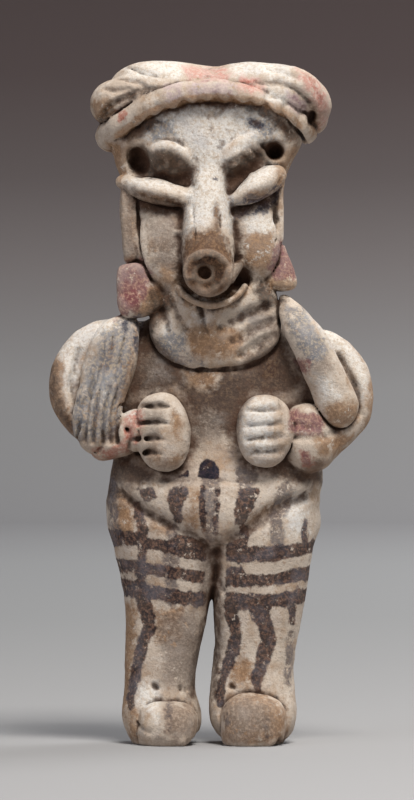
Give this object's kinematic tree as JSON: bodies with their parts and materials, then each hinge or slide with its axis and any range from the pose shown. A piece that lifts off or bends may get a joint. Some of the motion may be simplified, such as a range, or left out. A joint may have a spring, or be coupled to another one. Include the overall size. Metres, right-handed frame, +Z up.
{
  "type": "standing female figure",
  "caption": "Small hand-modelled painted earthenware figure of a standing woman with a headdress, hands on the belly, resting on two flat-soled feet.",
  "frame": {"origin": "middle of the figure's box on the surface that it stands on", "axes": "+Z up along the body; the figure faces -Y; +X is to the viewer's right"},
  "size_m": [0.0518, 0.0238, 0.1101],
  "materials": {
    "painted_earthenware": "matt low-fired earthenware with worn slip paint and soil in the hollows"
  },
  "bodies": {
    "root": {"standing_figure": "painted_earthenware"}
  },
  "joints": []
}
